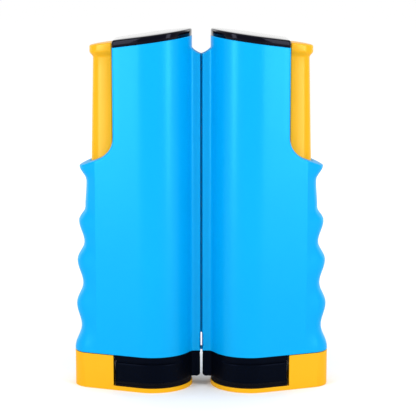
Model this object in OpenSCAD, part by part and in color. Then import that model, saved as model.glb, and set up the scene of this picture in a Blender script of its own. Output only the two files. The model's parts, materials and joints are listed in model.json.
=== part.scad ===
// Retractable table tennis net: two mirror-image clamp posts, stored side by side.
// Each post holds one sprung net roller and one sprung table clamp.
// Lengths are in millimetres. X runs along the net, with the meeting plane of the
// posts at x = 0. Y runs from front (-) to back (+). Z is up, with the feet at z = 0.
// Every module draws the right post's piece; the left post mirrors it.

/* [Post] */
// Height of a post at its inner top corner
post_h = 180; // [178:0.5:184]
// Slope of the top face in degrees, falling away from the meeting plane
top_slope = 8; // [7:0.5:8.5]
// Radius of the round net housing
housing_r = 19.7; // [19.5:0.1:20.1]
// Distance from the meeting plane to the axis of the net housing
housing_x = 24.3; // [24.1:0.1:24.7]
// Radius of the outer end of the grip
grip_r = 9.6; // [9.4:0.1:10]
// Distance from the meeting plane to the centre of the grip's outer end
grip_x = 54.2; // [54:0.1:54.5]
// Wall thickness of the shells and caps
wall = 2; // [1.8:0.1:2.1]
// Thickness of the top cap
cap_t = 3.9; // [3.5:0.1:4.2]

/* [Clamp] */
// How far the jaw opens, which is the thickest table it takes
jaw_travel = 42; // [36:1:42]
// Thickness of the jaw's plate
plate_t = 2.2; // [2:0.1:2.3]
// Height of the lower edge of the shells
shell_z = 18; // [17.8:0.1:18.4]
// Half the front-to-back thickness of the slider bar
slider_r = 6; // [5.8:0.1:6.1]

/* [Net] */
// Height of the lower edge of the net
net_z = 26.5; // [20.6:0.1:28]
// Height of the net itself
net_h = 129.9; // [120:0.1:129.9]
// Outer radius of a full roll
roll_r = 14.7; // [13:0.1:14.8]

/* [Hidden] */

$fn = 64;
gap = 0.1;            // assembly gap between pieces that only touch
slide_gap = 0.35;     // clearance round the slider in the shells
run_gap = 0.05;       // radial clearance of the roller on its spindle
big = 200;            // longer than any piece

// Outline of a post, seen from above.
side_lean = asin((housing_r - grip_r) / (grip_x - housing_x));
notch_x = 43.2;       // upright face of the thumb notch, and outer end of the net housing
lip_top_x = 0.05;     // edge of the net lips at their tops
lip_foot_x = 0.5;     // edge of the net lips at their feet
lip_half = 5;         // half the thickness of both lips together
slot_half = 1.3;      // half the width of the net slot between the lips
slot_top = 159;       // closed end of the net slot
lip_top = 167.3;      // top of the lips' tips
lip_sweep = 4.5;      // radius of the hollow where a lip runs up into the housing
inner_x = housing_x - housing_r;

// Thumb notch: an upright face, a quarter-like bend and a sloping shelf.
notch_z = 127.2;      // where the upright face starts to bend
notch_r = 12;         // radius of the bend
notch_turn = 67.5;    // how far it bends, in degrees
shelf_tip = [60.6, 112];

// Outer edge of the grip: heights of its crests and hollows, with their distances
// from the meeting plane, from the foot up to the shelf.
grip_keys = [
    [0, 63.8], [19, 63.8], [30.6, 60.5], [41.8, 62.8], [52.4, 59.5], [64.1, 62.2],
    [73.4, 58.6], [84.3, 61.2], [91, 57.9], [104.5, 57.2], [112, 60.6]
];
rib_zs = [30.6, 52.4, 73.4, 98];     // cross ribs in the grip
rib_t = 1.5;
guide_x = 45;         // upright ribs that steady the slider
guide_z = 24;
guide_h = 84;

// Base.
base_z = 4.8;         // underside of the base cap
jaw_x = 43.9;         // inner face of the jaw block
cap_end_x = 43.1;     // outer end of the base cap
cap_lip_x = 0.6;      // tip of the base cap's lip
pad_t = 1.2;
foot_z = 8;           // floor of the slider's socket in the jaw
jaw_top = shell_z - 0.3;

// Slider bar.
slider_x = 44;
slider_mid = 48;      // where the bar's rounded side starts
slider_wall = 1.6;
foot_x = 46;          // inner face of the bar's foot
flange_z = 167.2;     // underside of the thumb flange
flange_w = 1.3;
thumb_drop = 1.3;     // how far the thumb rest is below the line of the top face

// Clamp spring, from a pin in the shells down to a pin in the slider.
spring_x = 49;
shell_pin_z = 64;
slider_pin_z = 22;
pin_r = 1.5;

// Screws that join the jaw and the slider, from beneath.
jaw_screw_x = 50;
jaw_screw_ys = [-3.4, 3.4];

// Roller.
spindle_r = 2;
spindle_top = post_h - 8;
tube_r = 7.5;
tube_bore = 6;
roller_z = 20.4;      // lower end of the core tube
roller_top = 158;
collar_z = 100;       // collar on the spindle that the roller spring pushes against
collar_r = 5;
flange_r = 15.2;
flange_t = 1.4;

// Shell screws: where each one crosses the post, seen from the front.
screw_at = [[12, 164], [38.2, 163.5], [56.2, 84.3], [56.2, 41.8]];
screw_sink = 2.8;     // depth of a screw's seat below the shell's surface
boss_r = 3.2;
screw_r = 1.1;
head_r = 2.1;
head_t = 1.4;
counterbore_r = head_r + 0.2;

function top_z(x) = post_h - (x - inner_x) * tan(top_slope);
function arc(c, r, a0, a1, n) =
    [for (i = [0:n]) let (a = a0 + (a1 - a0) * i / n) c + r * [cos(a), sin(a)]];

// Distance of the grip's outer edge at height z: half cosine waves between the keys.
function grip_edge(z) =
    let (
        i = max([for (k = [0:len(grip_keys) - 2]) if (z >= grip_keys[k][0]) k]),
        a = grip_keys[i],
        b = grip_keys[i + 1],
        t = min(1, (z - a[0]) / (b[0] - a[0]))
    )
    a[1] + (b[1] - a[1]) * (1 - cos(180 * t)) / 2;

// Half the thickness of the post at distance x.
function half_at(x) =
    let (
        xa = housing_x + housing_r * sin(side_lean),
        xb = grip_x + grip_r * sin(side_lean)
    )
    x < xa ? sqrt(max(0, pow(housing_r, 2) - pow(x - housing_x, 2)))
    : x < xb ? housing_r * cos(side_lean) - (x - xa) * tan(side_lean)
    : sqrt(max(0, pow(grip_r, 2) - pow(x - grip_x, 2)));

// Teardrop outline of a post, drawn inward by d.
function outline(d) = concat(
    arc([housing_x, 0], housing_r - d, 90 - side_lean, 270 + side_lean, 60),
    arc([grip_x, 0], grip_r - d, side_lean - 90, 90 - side_lean, 20)
);

// Notch curve, set back by d into the grip.
function notch_curve(d) =
    arc(
        [notch_x + notch_r, notch_z], notch_r + d,
        180 + (d > 0 ? acos(notch_r / (notch_r + d)) : 0), 180 + notch_turn, 10
    );

// Side view of the shells, with the grip's edge drawn inward by d.
function side_view(d) = concat(
    [[-1, shell_z], [-1, top_z(-1) - cap_t], [notch_x, top_z(notch_x) - cap_t]],
    notch_curve(0),
    [shelf_tip],
    [for (i = [1:48]) let (z = shelf_tip[1] + (shell_z - shelf_tip[1]) * i / 48) [grip_edge(z) - d, z]]
);

// A shape drawn in the side view and extruded through the post.
module through(points) rotate([90, 0, 0]) linear_extrude(2 * big, center = true) polygon(points);

// A cylinder that runs from front to back, between two values of y.
module cross_rod(x, z, y0, y1, r) translate([x, y1, z]) rotate([90, 0, 0]) cylinder(r = r, h = y1 - y0);

// Between two planes that lie parallel to the top face, at depths d0 and d1 below it.
module top_layer(d0, d1)
    through([
        [-big, top_z(-big) - d1], [big, top_z(big) - d1],
        [big, top_z(big) - d0], [-big, top_z(-big) - d0]
    ]);

module x_range(x0, x1) translate([x0, -big / 2, -big / 2]) cube([x1 - x0, big, 2 * big]);

module column(points, z0, z1) translate([0, 0, z0]) linear_extrude(z1 - z0) polygon(points);

// Slider section, grown by g: a flat back at x = back, sides that taper as the post's do, and a round front.
function slider_section(g, back) =
    let (half = (slider_r + g) / cos(side_lean) + (slider_mid - back) * tan(side_lean))
    concat(
        [[back, half]],
        arc([slider_mid, 0], slider_r + g, 90 - side_lean, side_lean - 90, 24),
        [[back, -half]]
    );

// A round wire along a path. Each ring's direction is the last one's, turned as little as possible.
module wire(path, r, sides) {
    last = len(path) - 1;
    tangent = [for (i = [0:last]) let (d = path[min(i + 1, last)] - path[max(i - 1, 0)]) d / norm(d)];
    start = cross(tangent[0], [0.3, 0.5, 0.8]);
    normal = [for (
        i = 0, n = start / norm(start);
        i <= last;
        i = i + 1, m = n - (n * tangent[min(i, last)]) * tangent[min(i, last)], n = m / norm(m)
    ) n];
    rings = [for (i = [0:last], k = [0:sides - 1])
        let (a = 360 * k / sides, b = cross(tangent[i], normal[i]))
        path[i] + r * (cos(a) * normal[i] + sin(a) * b)];
    walls = [for (i = [0:last - 1], k = [0:sides - 1]) let (n = (k + 1) % sides)
        [i * sides + n, i * sides + k, (i + 1) * sides + k, (i + 1) * sides + n]];
    polyhedron(rings, concat(
        walls,
        [[for (k = [0:sides - 1]) k]],
        [[for (k = [sides - 1:-1:0]) last * sides + k]]
    ));
}

function helix(c, r, z0, z1, turns, steps) =
    [for (i = [0:turns * steps]) let (a = 360 * i / steps)
        [c[0] + r * cos(a), c[1] + r * sin(a), z0 + (z1 - z0) * i / (turns * steps)]];

// ---- Shells

module shell_outside(d) {
    intersection() {
        column(outline(d), shell_z, post_h);
        through(side_view(d));
    }
}

module lips() {
    top = lip_top + lip_sweep;
    difference() {
        rotate([90, 0, 0]) linear_extrude(2 * lip_half, center = true)
            polygon([
                [lip_foot_x, shell_z], [lip_top_x, lip_top], [lip_top_x, top],
                [inner_x + 3, top], [inner_x + 3, shell_z]
            ]);
        cross_rod(lip_top_x, top, -big / 2, big / 2, lip_sweep);
    }
}

module net_chamber() {
    intersection() {
        column(outline(wall), shell_z - 1, post_h + 1);
        x_range(-1, notch_x - wall);
    }
}

module grip_room() {
    intersection() {
        column(outline(wall), shell_z - 1, post_h);
        through(concat(
            [[notch_x, shell_z - 1]],
            notch_curve(wall),
            [[shelf_tip[0] - 2, shelf_tip[1] - 1.5]],
            [for (i = [2:24]) let (z = shelf_tip[1] + (shell_z - shelf_tip[1]) * i / 24)
                [grip_edge(z) - wall, z]],
            [[grip_edge(shell_z) - wall, shell_z - 1]]
        ));
    }
}

module inner_frame() {
    intersection() {
        shell_outside(wall / 4);
        union() {
            for (z = rib_zs) intersection() {
                column(outline(wall / 2), z - rib_t / 2, z + rib_t / 2);
                x_range(notch_x - 0.5, big);
            }
            for (turn = [0, 1]) mirror([0, turn, 0]) translate([guide_x, slider_r + slide_gap, guide_z])
                cube([rib_t, half_at(guide_x) - slider_r - slide_gap, guide_h]);
            for (s = screw_at) cross_rod(s[0], s[1], -big / 2, big / 2, boss_r);
            for (turn = [0, 1]) mirror([0, turn, 0])
                cross_rod(spring_x, shell_pin_z, slider_r + slide_gap, big / 2, pin_r + 1.5);
        }
    }
}

module both_shells() {
    difference() {
        union() {
            difference() {
                union() {
                    shell_outside(0);
                    lips();
                }
                net_chamber();
                grip_room();
            }
            inner_frame();
        }
        // net slot, open at the bottom and closed above the net
        translate([-1, -slot_half, shell_z - 1]) cube([inner_x + 6, 2 * slot_half, slot_top + 1 - shell_z]);
        // way through the shelf and ribs for the slider
        column(slider_section(slide_gap, notch_x), shell_z - 1, notch_z + 2);
        cross_rod(spring_x, shell_pin_z, -pin_half() - gap, pin_half() + gap, pin_r);
    }
}

function pin_half() = half_at(spring_x) - wall - 0.4;
function screw_seat(s) = min(half_at(s[0] - counterbore_r), half_at(s[0] + counterbore_r)) - screw_sink;

module front_shell() color("deepskyblue") {
    difference() {
        intersection() {
            both_shells();
            translate([-1, -big, 0]) cube([big, big, post_h]);
        }
        for (s = screw_at) cross_rod(s[0], s[1], -8, 1, screw_r);
    }
}

module rear_shell() color("deepskyblue") {
    difference() {
        intersection() {
            both_shells();
            translate([-1, 0, 0]) cube([big, big, post_h]);
        }
        for (s = screw_at) {
            cross_rod(s[0], s[1], -1, big / 2, screw_r + gap);
            cross_rod(s[0], s[1], screw_seat(s), big / 2, counterbore_r);
        }
    }
}

// ---- Caps and pads

module spigot(z0, z1) difference() {
    column(outline(wall + gap), z0, z1);
    column(outline(wall + gap + 1.2), z0 - 1, z1 + 1);
    x_range(notch_x - wall - gap, big);
}

module top_cap() color([0.07, 0.07, 0.09]) {
    difference() {
        union() {
            intersection() {
                column(outline(0), shell_z, post_h + 1);
                x_range(0, notch_x);
                top_layer(0, cap_t);
            }
            intersection() {
                spigot(shell_z, post_h);
                top_layer(cap_t - 0.5, cap_t + 3.5);
            }
            intersection() {
                translate([housing_x, 0, roller_top + 3]) cylinder(r = spindle_r + 2.5, h = 20);
                top_layer(cap_t - 0.5, big);
            }
        }
        translate([housing_x, 0, 0]) cylinder(r = spindle_r, h = spindle_top);
    }
}

module base_cap() color([0.07, 0.07, 0.09]) {
    difference() {
        union() {
            intersection() {
                difference() {
                    column(outline(0), base_z, shell_z);
                    // shallow groove that runs out towards the inner end
                    difference() {
                        translate([0, -big / 2, shell_z - 3.3]) cube([big, big, 0.9]);
                        translate([-0.8, 0, 0]) column(outline(0.8), base_z, shell_z);
                    }
                }
                x_range(0, cap_end_x);
            }
            translate([cap_lip_x, -lip_half + 0.2, base_z + 0.2])
                cube([inner_x + 2 - cap_lip_x, 2 * lip_half - 0.4, shell_z - base_z - 0.2]);
            spigot(shell_z - 1, shell_z + 2.2);
        }
        intersection() {
            column(outline(wall + gap + 1.2), base_z + wall, shell_z + 1);
            x_range(0, cap_end_x - wall);
            difference() {
                x_range(0, big);
                translate([housing_x, 0, 0]) cylinder(r = spindle_r + 2.5, h = shell_z + 0.6);
            }
        }
        translate([housing_x, 0, base_z + wall]) cylinder(r = spindle_r, h = shell_z);
        for (x = pad_pegs) translate([x, 0, base_z - 1]) cylinder(r = peg_r + gap, h = 2.5);
    }
}

pad_pegs = [12, 36];  // pegs that hold the pads
peg_r = 1.9;
pad_grooves = [9:3:39];
groove_w = 1;
groove_depth = 0.5;
groove_end = 3.2;     // how far the grooves stop short of the post's outline

// Rubber pad with grooves across its gripping face, glued at glued_z and facing up (1) or down (-1).
module pad(glued_z, up) color([0.1, 0.1, 0.11]) {
    lo = min(glued_z, glued_z + up * pad_t);
    groove_lo = up > 0 ? lo + pad_t - groove_depth : lo - 1;
    difference() {
        union() {
            intersection() {
                column(outline(0.4), lo, lo + pad_t);
                x_range(0, cap_end_x - 0.2);
            }
            for (x = pad_pegs) translate([x, 0, up > 0 ? glued_z - 1.2 : lo + pad_t - 0.2])
                cylinder(r = peg_r, h = 1.4);
        }
        intersection() {
            column(outline(groove_end), groove_lo, groove_lo + 1 + (up > 0 ? 0 : groove_depth));
            for (x = pad_grooves) x_range(x, x + groove_w);
        }
    }
}

module upper_pad() pad(base_z, -1);
module lower_pad() pad(plate_t, 1);

// ---- Roller

module spindle() color("silver") {
    z0 = base_z + wall + gap;
    translate([housing_x, 0, z0]) cylinder(r = spindle_r - 0.02, h = spindle_top - gap - z0);
    translate([housing_x, 0, collar_z]) cylinder(r = collar_r, h = 3);
}

module core_tube() color("gainsboro") translate([housing_x, 0, roller_z]) difference() {
    cylinder(r = tube_r, h = roller_top - roller_z);
    translate([0, 0, -1]) cylinder(r = tube_bore, h = roller_top);
}

// Flanged bush in an end of the core tube; up is 1 at the lower end and -1 at the upper end.
module bush(z, up) color("whitesmoke")
    translate([housing_x, 0, z]) mirror([0, 0, up > 0 ? 0 : 1]) difference() {
        union() {
            translate([0, 0, -flange_t]) cylinder(r = flange_r, h = flange_t);
            translate([0, 0, -0.1]) cylinder(r = tube_bore - 0.02, h = 5.6);
        }
        translate([0, 0, -2]) cylinder(r = spindle_r + run_gap, h = 9);
    }

module lower_bush() bush(roller_z, 1);
module upper_bush() bush(roller_top, -1);

module net_roll() color([0.12, 0.12, 0.14]) translate([housing_x, 0, net_z]) difference() {
    cylinder(r = roll_r, h = net_h);
    translate([0, 0, -1]) cylinder(r = tube_r + 0.02, h = net_h + 2);
}

module roller_spring() color("silver")
    wire(helix([housing_x, 0], 4.4, roller_z + 6.1, collar_z - 0.6, 16, 14), 0.5, 6);

// Net that reaches from one roll to the other, through both slots. It leaves each roll at its back.
net_t = 0.6;
tape_t = 0.8;
tape_h = 13;          // white tape along the top of the net
slot_in = 7.2;        // where the net turns into the slot
span_r = roll_r + 0.6;
span_turn = acos(span_r / (housing_x - slot_in));

function span_side(s, y) = [
    [s * (housing_x - span_r * cos(span_turn)), span_r * sin(span_turn) + y],
    [s * slot_in, y]
];

// Outline from above of a strip of cloth of thickness t that follows the net's way.
function span_strip(t) = concat(
    span_side(-1, t / 2), [for (i = [1, 0]) span_side(1, t / 2)[i]],
    span_side(1, -t / 2), [for (i = [1, 0]) span_side(-1, -t / 2)[i]]
);

module net_span() color([0.12, 0.12, 0.14])
    column(span_strip(net_t), net_z, net_z + net_h - tape_h);

module net_tape() color("white")
    column(span_strip(tape_t), net_z + net_h - tape_h, net_z + net_h);

// ---- Clamp

module slider() color([1, 0.76, 0.17]) {
    difference() {
        union() {
            intersection() {
                column(slider_section(0, slider_x), foot_z, post_h);
                top_layer(thumb_drop, big);
            }
            intersection() {
                column(slider_section(flange_w, slider_x + 1), flange_z, post_h);
                top_layer(thumb_drop, big);
            }
            intersection() {
                column(slider_section(flange_w / 2, slider_x + 1), flange_z - 1, flange_z);
                x_range(0, big);
            }
        }
        // open back of the channel
        column(slider_section(-slider_wall, slider_x - 1), 14, 163);
        // foot, cut back to sit inside the jaw block
        translate([0, -big / 2, 0]) cube([foot_x, big, jaw_top + gap]);
        // slots for the pin in the shells
        for (z = [shell_pin_z, shell_pin_z + jaw_travel])
            cross_rod(spring_x, z, -big / 2, big / 2, pin_r + 0.2);
        translate([spring_x - pin_r - 0.2, -big / 2, shell_pin_z]) cube([2 * pin_r + 0.4, big, jaw_travel]);
        cross_rod(spring_x, slider_pin_z, -slider_r - 1, slider_r + 1, pin_r - 0.25);
        for (y = jaw_screw_ys) translate([jaw_screw_x, y, foot_z - 1]) cylinder(r = screw_r, h = 6);
    }
}

module lower_jaw() color([1, 0.76, 0.17]) {
    difference() {
        union() {
            intersection() {
                column(outline(0), 0, plate_t);
                x_range(0, big);
            }
            intersection() {
                column(outline(0), 0, jaw_top);
                x_range(jaw_x, big);
            }
        }
        // hollow in the block round the slider's socket
        difference() {
            intersection() {
                column(outline(wall + 0.4), 3, shell_z);
                x_range(jaw_x + 1.9, big);
            }
            column(slider_section(slide_gap + 1.8, jaw_x), 0, shell_z + 1);
        }
        column(slider_section(gap, foot_x - gap), foot_z, shell_z + 1);
        for (y = jaw_screw_ys) translate([jaw_screw_x, y, -1]) {
            cylinder(r = screw_r + gap, h = 12);
            cylinder(r = counterbore_r, h = 4);
        }
        for (x = pad_pegs) translate([x, 0, plate_t - 1.3]) cylinder(r = peg_r + gap, h = 3);
    }
}

module spring_pin() color("silver")
    cross_rod(spring_x, shell_pin_z, -pin_half(), pin_half(), pin_r - 0.02);

module slider_pin() color("silver")
    cross_rod(spring_x, slider_pin_z, -slider_r + 0.2, slider_r - 0.2, pin_r - 0.27);

// Extension spring: a hook round each pin, joined by a close coil.
spring_r = 2.6;
hook_r = pin_r + 0.65;
function hook(z, a0, a1) = [for (i = [0:12]) let (a = a0 + (a1 - a0) * i / 12)
    [spring_x + hook_r * cos(a), 0, z + hook_r * sin(a)]];

module clamp_spring() color("silver") {
    coil_lo = slider_pin_z + hook_r + 1.6;
    coil_hi = shell_pin_z - hook_r - 1.6;
    wire(concat(
        hook(slider_pin_z, 200, 420),
        helix([spring_x, 0], spring_r, coil_lo, coil_hi, 16, 12),
        hook(shell_pin_z, -60, 160)
    ), 0.4, 6);
}

// ---- Screws

// Pan-head screw with a cross recess, its head's underside at z = 0 and its head up.
module screw(length) {
    difference() {
        cylinder(r = head_r, h = head_t);
        for (a = [0, 90]) rotate(a) translate([-1.2, -0.25, 0.6]) cube([2.4, 0.5, 2]);
    }
    translate([0, 0, -length]) cylinder(r = screw_r - 0.03, h = length);
}

module shell_screws() color("silver")
    for (s = screw_at) translate([s[0], screw_seat(s), s[1]]) rotate([-90, 0, 0])
        screw(screw_seat(s) + 7.5);

module jaw_screws() color("silver")
    for (y = jaw_screw_ys) translate([jaw_screw_x, y, 3]) mirror([0, 0, 1]) screw(9.5);

module left() mirror([1, 0, 0]) children();

left() front_shell();  // left_front_shell
left() rear_shell();  // left_rear_shell
left() top_cap();  // left_top_cap
left() base_cap();  // left_base_cap
left() upper_pad();  // left_upper_pad
left() spindle();  // left_spindle
left() core_tube();  // left_core_tube
left() lower_bush();  // left_lower_bush
left() upper_bush();  // left_upper_bush
left() net_roll();  // left_net_roll
left() roller_spring();  // left_roller_spring
left() spring_pin();  // left_spring_pin
left() clamp_spring();  // left_clamp_spring
left() slider();  // left_slider
left() lower_jaw();  // left_lower_jaw
left() lower_pad();  // left_lower_pad
left() slider_pin();  // left_slider_pin
left() shell_screws();  // left_shell_screws
left() jaw_screws();  // left_jaw_screws
front_shell();  // right_front_shell
rear_shell();  // right_rear_shell
top_cap();  // right_top_cap
base_cap();  // right_base_cap
upper_pad();  // right_upper_pad
spindle();  // right_spindle
core_tube();  // right_core_tube
lower_bush();  // right_lower_bush
upper_bush();  // right_upper_bush
net_roll();  // right_net_roll
roller_spring();  // right_roller_spring
spring_pin();  // right_spring_pin
clamp_spring();  // right_clamp_spring
slider();  // right_slider
lower_jaw();  // right_lower_jaw
lower_pad();  // right_lower_pad
slider_pin();  // right_slider_pin
shell_screws();  // right_shell_screws
jaw_screws();  // right_jaw_screws
net_span();
net_tape();
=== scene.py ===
import json
import math

import bmesh
import bpy
from mathutils import Matrix, Vector


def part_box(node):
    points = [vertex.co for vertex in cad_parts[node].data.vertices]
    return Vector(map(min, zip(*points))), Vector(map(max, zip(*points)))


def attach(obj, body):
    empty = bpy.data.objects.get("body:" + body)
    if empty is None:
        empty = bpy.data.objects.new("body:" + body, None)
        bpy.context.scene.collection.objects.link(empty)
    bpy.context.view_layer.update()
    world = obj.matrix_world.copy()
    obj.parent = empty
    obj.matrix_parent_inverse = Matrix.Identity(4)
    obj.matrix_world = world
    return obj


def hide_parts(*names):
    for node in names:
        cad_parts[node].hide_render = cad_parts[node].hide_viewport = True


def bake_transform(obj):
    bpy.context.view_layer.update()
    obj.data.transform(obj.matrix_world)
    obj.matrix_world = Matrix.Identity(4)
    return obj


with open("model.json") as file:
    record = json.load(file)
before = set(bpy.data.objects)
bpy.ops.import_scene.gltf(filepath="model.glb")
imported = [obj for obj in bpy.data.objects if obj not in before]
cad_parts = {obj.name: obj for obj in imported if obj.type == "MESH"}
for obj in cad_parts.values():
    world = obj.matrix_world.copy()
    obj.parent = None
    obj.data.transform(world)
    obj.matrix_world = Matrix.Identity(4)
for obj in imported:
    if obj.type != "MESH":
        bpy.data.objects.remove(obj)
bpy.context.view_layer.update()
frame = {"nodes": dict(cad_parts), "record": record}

MM = 0.001
SIDES = {"left": -1, "right": 1}


# ---- Camera, floor and light

CAMERA_DISTANCE = 0.740
CAMERA_TILT = math.radians(9.8)
CAMERA_LENS = 128.1
CAMERA_SHIFT = 0.0161
FOOT_DROP = 0.1175676    # tangent of the angle from the middle of the picture down to the object's foot


def stage_camera():
    data = bpy.data.cameras.new("camera")
    data.lens = CAMERA_LENS
    data.shift_x = CAMERA_SHIFT
    data.clip_start = 0.01
    camera = bpy.data.objects.new("camera", data)
    reach = CAMERA_DISTANCE * math.cos(CAMERA_TILT)
    rise = reach * math.tan(math.atan(FOOT_DROP) + CAMERA_TILT)
    camera.location = (0, -reach, rise)
    camera.rotation_euler = (math.radians(90) - CAMERA_TILT, 0, 0)
    bpy.context.scene.collection.objects.link(camera)
    bpy.context.scene.camera = camera


def area_light(name, location, target, size, power):
    data = bpy.data.lights.new(name, "AREA")
    data.shape = "RECTANGLE"
    data.size, data.size_y = size
    data.energy = power
    light = bpy.data.objects.new(name, data)
    light.location = location
    light.rotation_euler = (Vector(target) - Vector(location)).to_track_quat("-Z", "Y").to_euler()
    bpy.context.scene.collection.objects.link(light)


SHADE = 0.80             # painted shade: the paper's whiteness at the object, and the distances over which it turns white
SHADE_FROM = 0.1
SHADE_TO = 0.9
FLOOR_HALF = 12
LIGHT_TARGET = (0, 0, 0.09)


def paper():
    """White paper with painted shade: a little darker round the object so that its shadow shows."""
    material = bpy.data.materials.new("paper")
    material.use_nodes = True
    nodes, links = material.node_tree.nodes, material.node_tree.links
    shader = nodes["Principled BSDF"]
    where = nodes.new("ShaderNodeTexCoord")
    reach = nodes.new("ShaderNodeVectorMath")
    reach.operation = "LENGTH"
    links.new(where.outputs["Object"], reach.inputs[0])
    # painted shade: the paper's colour darkens towards the object and turns white further out
    painted_shade_ramp = nodes.new("ShaderNodeMapRange")
    painted_shade_ramp.interpolation_type = "SMOOTHSTEP"
    painted_shade_ramp.inputs["From Min"].default_value = SHADE_FROM
    painted_shade_ramp.inputs["From Max"].default_value = SHADE_TO
    painted_shade_ramp.inputs["To Min"].default_value = SHADE
    painted_shade_ramp.inputs["To Max"].default_value = 1.0
    links.new(reach.outputs["Value"], painted_shade_ramp.inputs["Value"])
    links.new(painted_shade_ramp.outputs["Result"], shader.inputs["Base Color"])
    shader.inputs["Roughness"].default_value = 1
    shader.inputs["Specular IOR Level"].default_value = 0
    return material


# Softboxes: place, size and power. They all face the middle of the object.
SOFTBOXES = [
    ((-0.65, -0.58, 0.30), (0.20, 0.9), 5.5), ((0.65, -0.58, 0.30), (0.20, 0.9), 5.5),
    ((-0.70, 0.60, 0.35), (0.3, 0.9), 1.4), ((0.70, 0.60, 0.35), (0.3, 0.9), 1.4),
    ((0, -0.10, 1.0), (0.6, 0.5), 1.5),
]


def stage():
    scene = bpy.context.scene
    scene.view_settings.view_transform = "Standard"
    world = bpy.data.worlds.new("studio")
    scene.world = world
    world.use_nodes = True
    background = world.node_tree.nodes["Background"]
    background.inputs["Color"].default_value = (1, 1, 1, 1)
    background.inputs["Strength"].default_value = 1
    half = FLOOR_HALF
    corners = [(-half, -half, 0), (half, -half, 0), (half, half, 0), (-half, half, 0)]
    mesh = bpy.data.meshes.new("floor")
    mesh.from_pydata(corners, [], [(0, 1, 2, 3)])
    floor = bpy.data.objects.new("floor", mesh)
    scene.collection.objects.link(floor)
    floor.data.materials.append(paper())
    for number, (spot, size, power) in enumerate(SOFTBOXES):
        area_light(f"softbox_{number}", spot, LIGHT_TARGET, size, power)


# ---- Shape of a post, in mm. A half is drawn at y >= 0 on the right post, and the rest mirror it.

def box_mm(node):
    low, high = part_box(node)
    return Vector(low) / MM, Vector(high) / MM


cap_low, cap_high = box_mm("right_top_cap")
shell_low, shell_high = box_mm("right_front_shell")
base_low, base_high = box_mm("right_base_cap")

HOUSING_R = cap_high.y
HOUSING_X = cap_low.x + HOUSING_R
NOTCH_X = cap_high.x
POST_H = cap_high.z
GRIP_END = shell_high.x
SHELL_Z = shell_low.z
SHELL_TOP = shell_high.z
slider_low, slider_high = box_mm("right_slider")
GRIP_R = 9.6
SLIDER_R = 6
SLIDER_MID = 48
WAY_R = 6.9              # the slider's way through the shelf
GRIP_X = GRIP_END - GRIP_R
LEAN = math.asin((HOUSING_R - GRIP_R) / (GRIP_X - HOUSING_X))
TOP_SLOPE = math.tan(math.radians(8))
WALL = 1.8
SEAM = 0.02              # half the gap between a front and a rear shell

LIP_HALF = 5
LIP_FILLET = 2.5
LIP_TIP_X = 0.002        # the lips of the two posts all but touch
LIP_NOTCH = (18.7, 27.2)
LIP_NOTCH_DEPTH = 0.36
LIP_TOP = 167.3
LIP_TOP_CURVE = 0.78     # 0.6 rounds the lips' tops as a U, and 1 as a V
SLOT_HALF = 1.3
SLOT_TOP = 159
SLOT_IN = 6.6

NOTCH_Z = 127.2
NOTCH_R = 12
NOTCH_TURN = math.radians(67.5)
RIM = 0.8                # rounding along the notch's edge
SHELF_EDGE_X = 60.6
FLEX_X = 52.4            # the finger grooves press in what lies further out than this
GRIP_KEYS = [
    (0, 63.8), (19, 63.8), (30.6, 60.5), (41.8, 62.8), (52.4, 59.5), (64.1, 62.2),
    (73.4, 58.6), (84.3, 61.2), (91, 57.9), (104.5, 57.2), (112, SHELF_EDGE_X), (200, SHELF_EDGE_X),
]


def spread(low, high, count):
    """count steps from low to high, both ends included."""
    return [low + (high - low) * i / count for i in range(count + 1)]


def smooth(t):
    t = min(1, max(0, t))
    return t * t * (3 - 2 * t)


def grip_edge(z):
    for (z0, x0), (z1, x1) in zip(GRIP_KEYS, GRIP_KEYS[1:]):
        if z <= z1:
            return x0 + (x1 - x0) * (1 - math.cos(math.pi * (z - z0) / (z1 - z0))) / 2


def top_z(x):
    return SHELL_TOP - (max(x, cap_low.x) - cap_low.x) * TOP_SLOPE


def on_housing(angle, r=HOUSING_R):
    return HOUSING_X + r * math.cos(angle), r * math.sin(angle)


def on_grip(angle, r=GRIP_R):
    return GRIP_X + r * math.cos(angle), r * math.sin(angle)


def flat_y(x):
    """Half thickness of the post where its sides are flat."""
    return (HOUSING_R - (x - HOUSING_X) * math.sin(LEAN)) / math.cos(LEAN)


SIDE_ANGLE = math.pi / 2 - LEAN          # direction that the flat sides face
FLAT_NORMAL = Vector((math.cos(SIDE_ANGLE), math.sin(SIDE_ANGLE), 0))
FILLET_X = HOUSING_X - math.sqrt((HOUSING_R + LIP_FILLET) ** 2 - (LIP_HALF + LIP_FILLET) ** 2)
FILLET_END = math.pi - math.asin((LIP_HALF + LIP_FILLET) / (HOUSING_R + LIP_FILLET))
FILLET_END_X, FILLET_END_Y = on_housing(FILLET_END)
SWEEP_R = FILLET_END_X - LIP_TIP_X


def lip_front(x):
    """Half thickness of the lip at x, with the hollow where it meets the housing."""
    if x <= FILLET_X:
        return LIP_HALF
    return LIP_HALF + LIP_FILLET - math.sqrt(max(0, LIP_FILLET ** 2 - (x - FILLET_X) ** 2))


def lip_tip(z):
    if z <= LIP_TOP:
        low, high = LIP_NOTCH
        return LIP_TIP_X + LIP_NOTCH_DEPTH * smooth((z - low) / 0.4) * smooth((high - z) / 0.6)
    share = min(1, (z - LIP_TOP) / SWEEP_R)
    return LIP_TIP_X + SWEEP_R * math.sin(math.pi / 2 * share ** LIP_TOP_CURVE)


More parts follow.
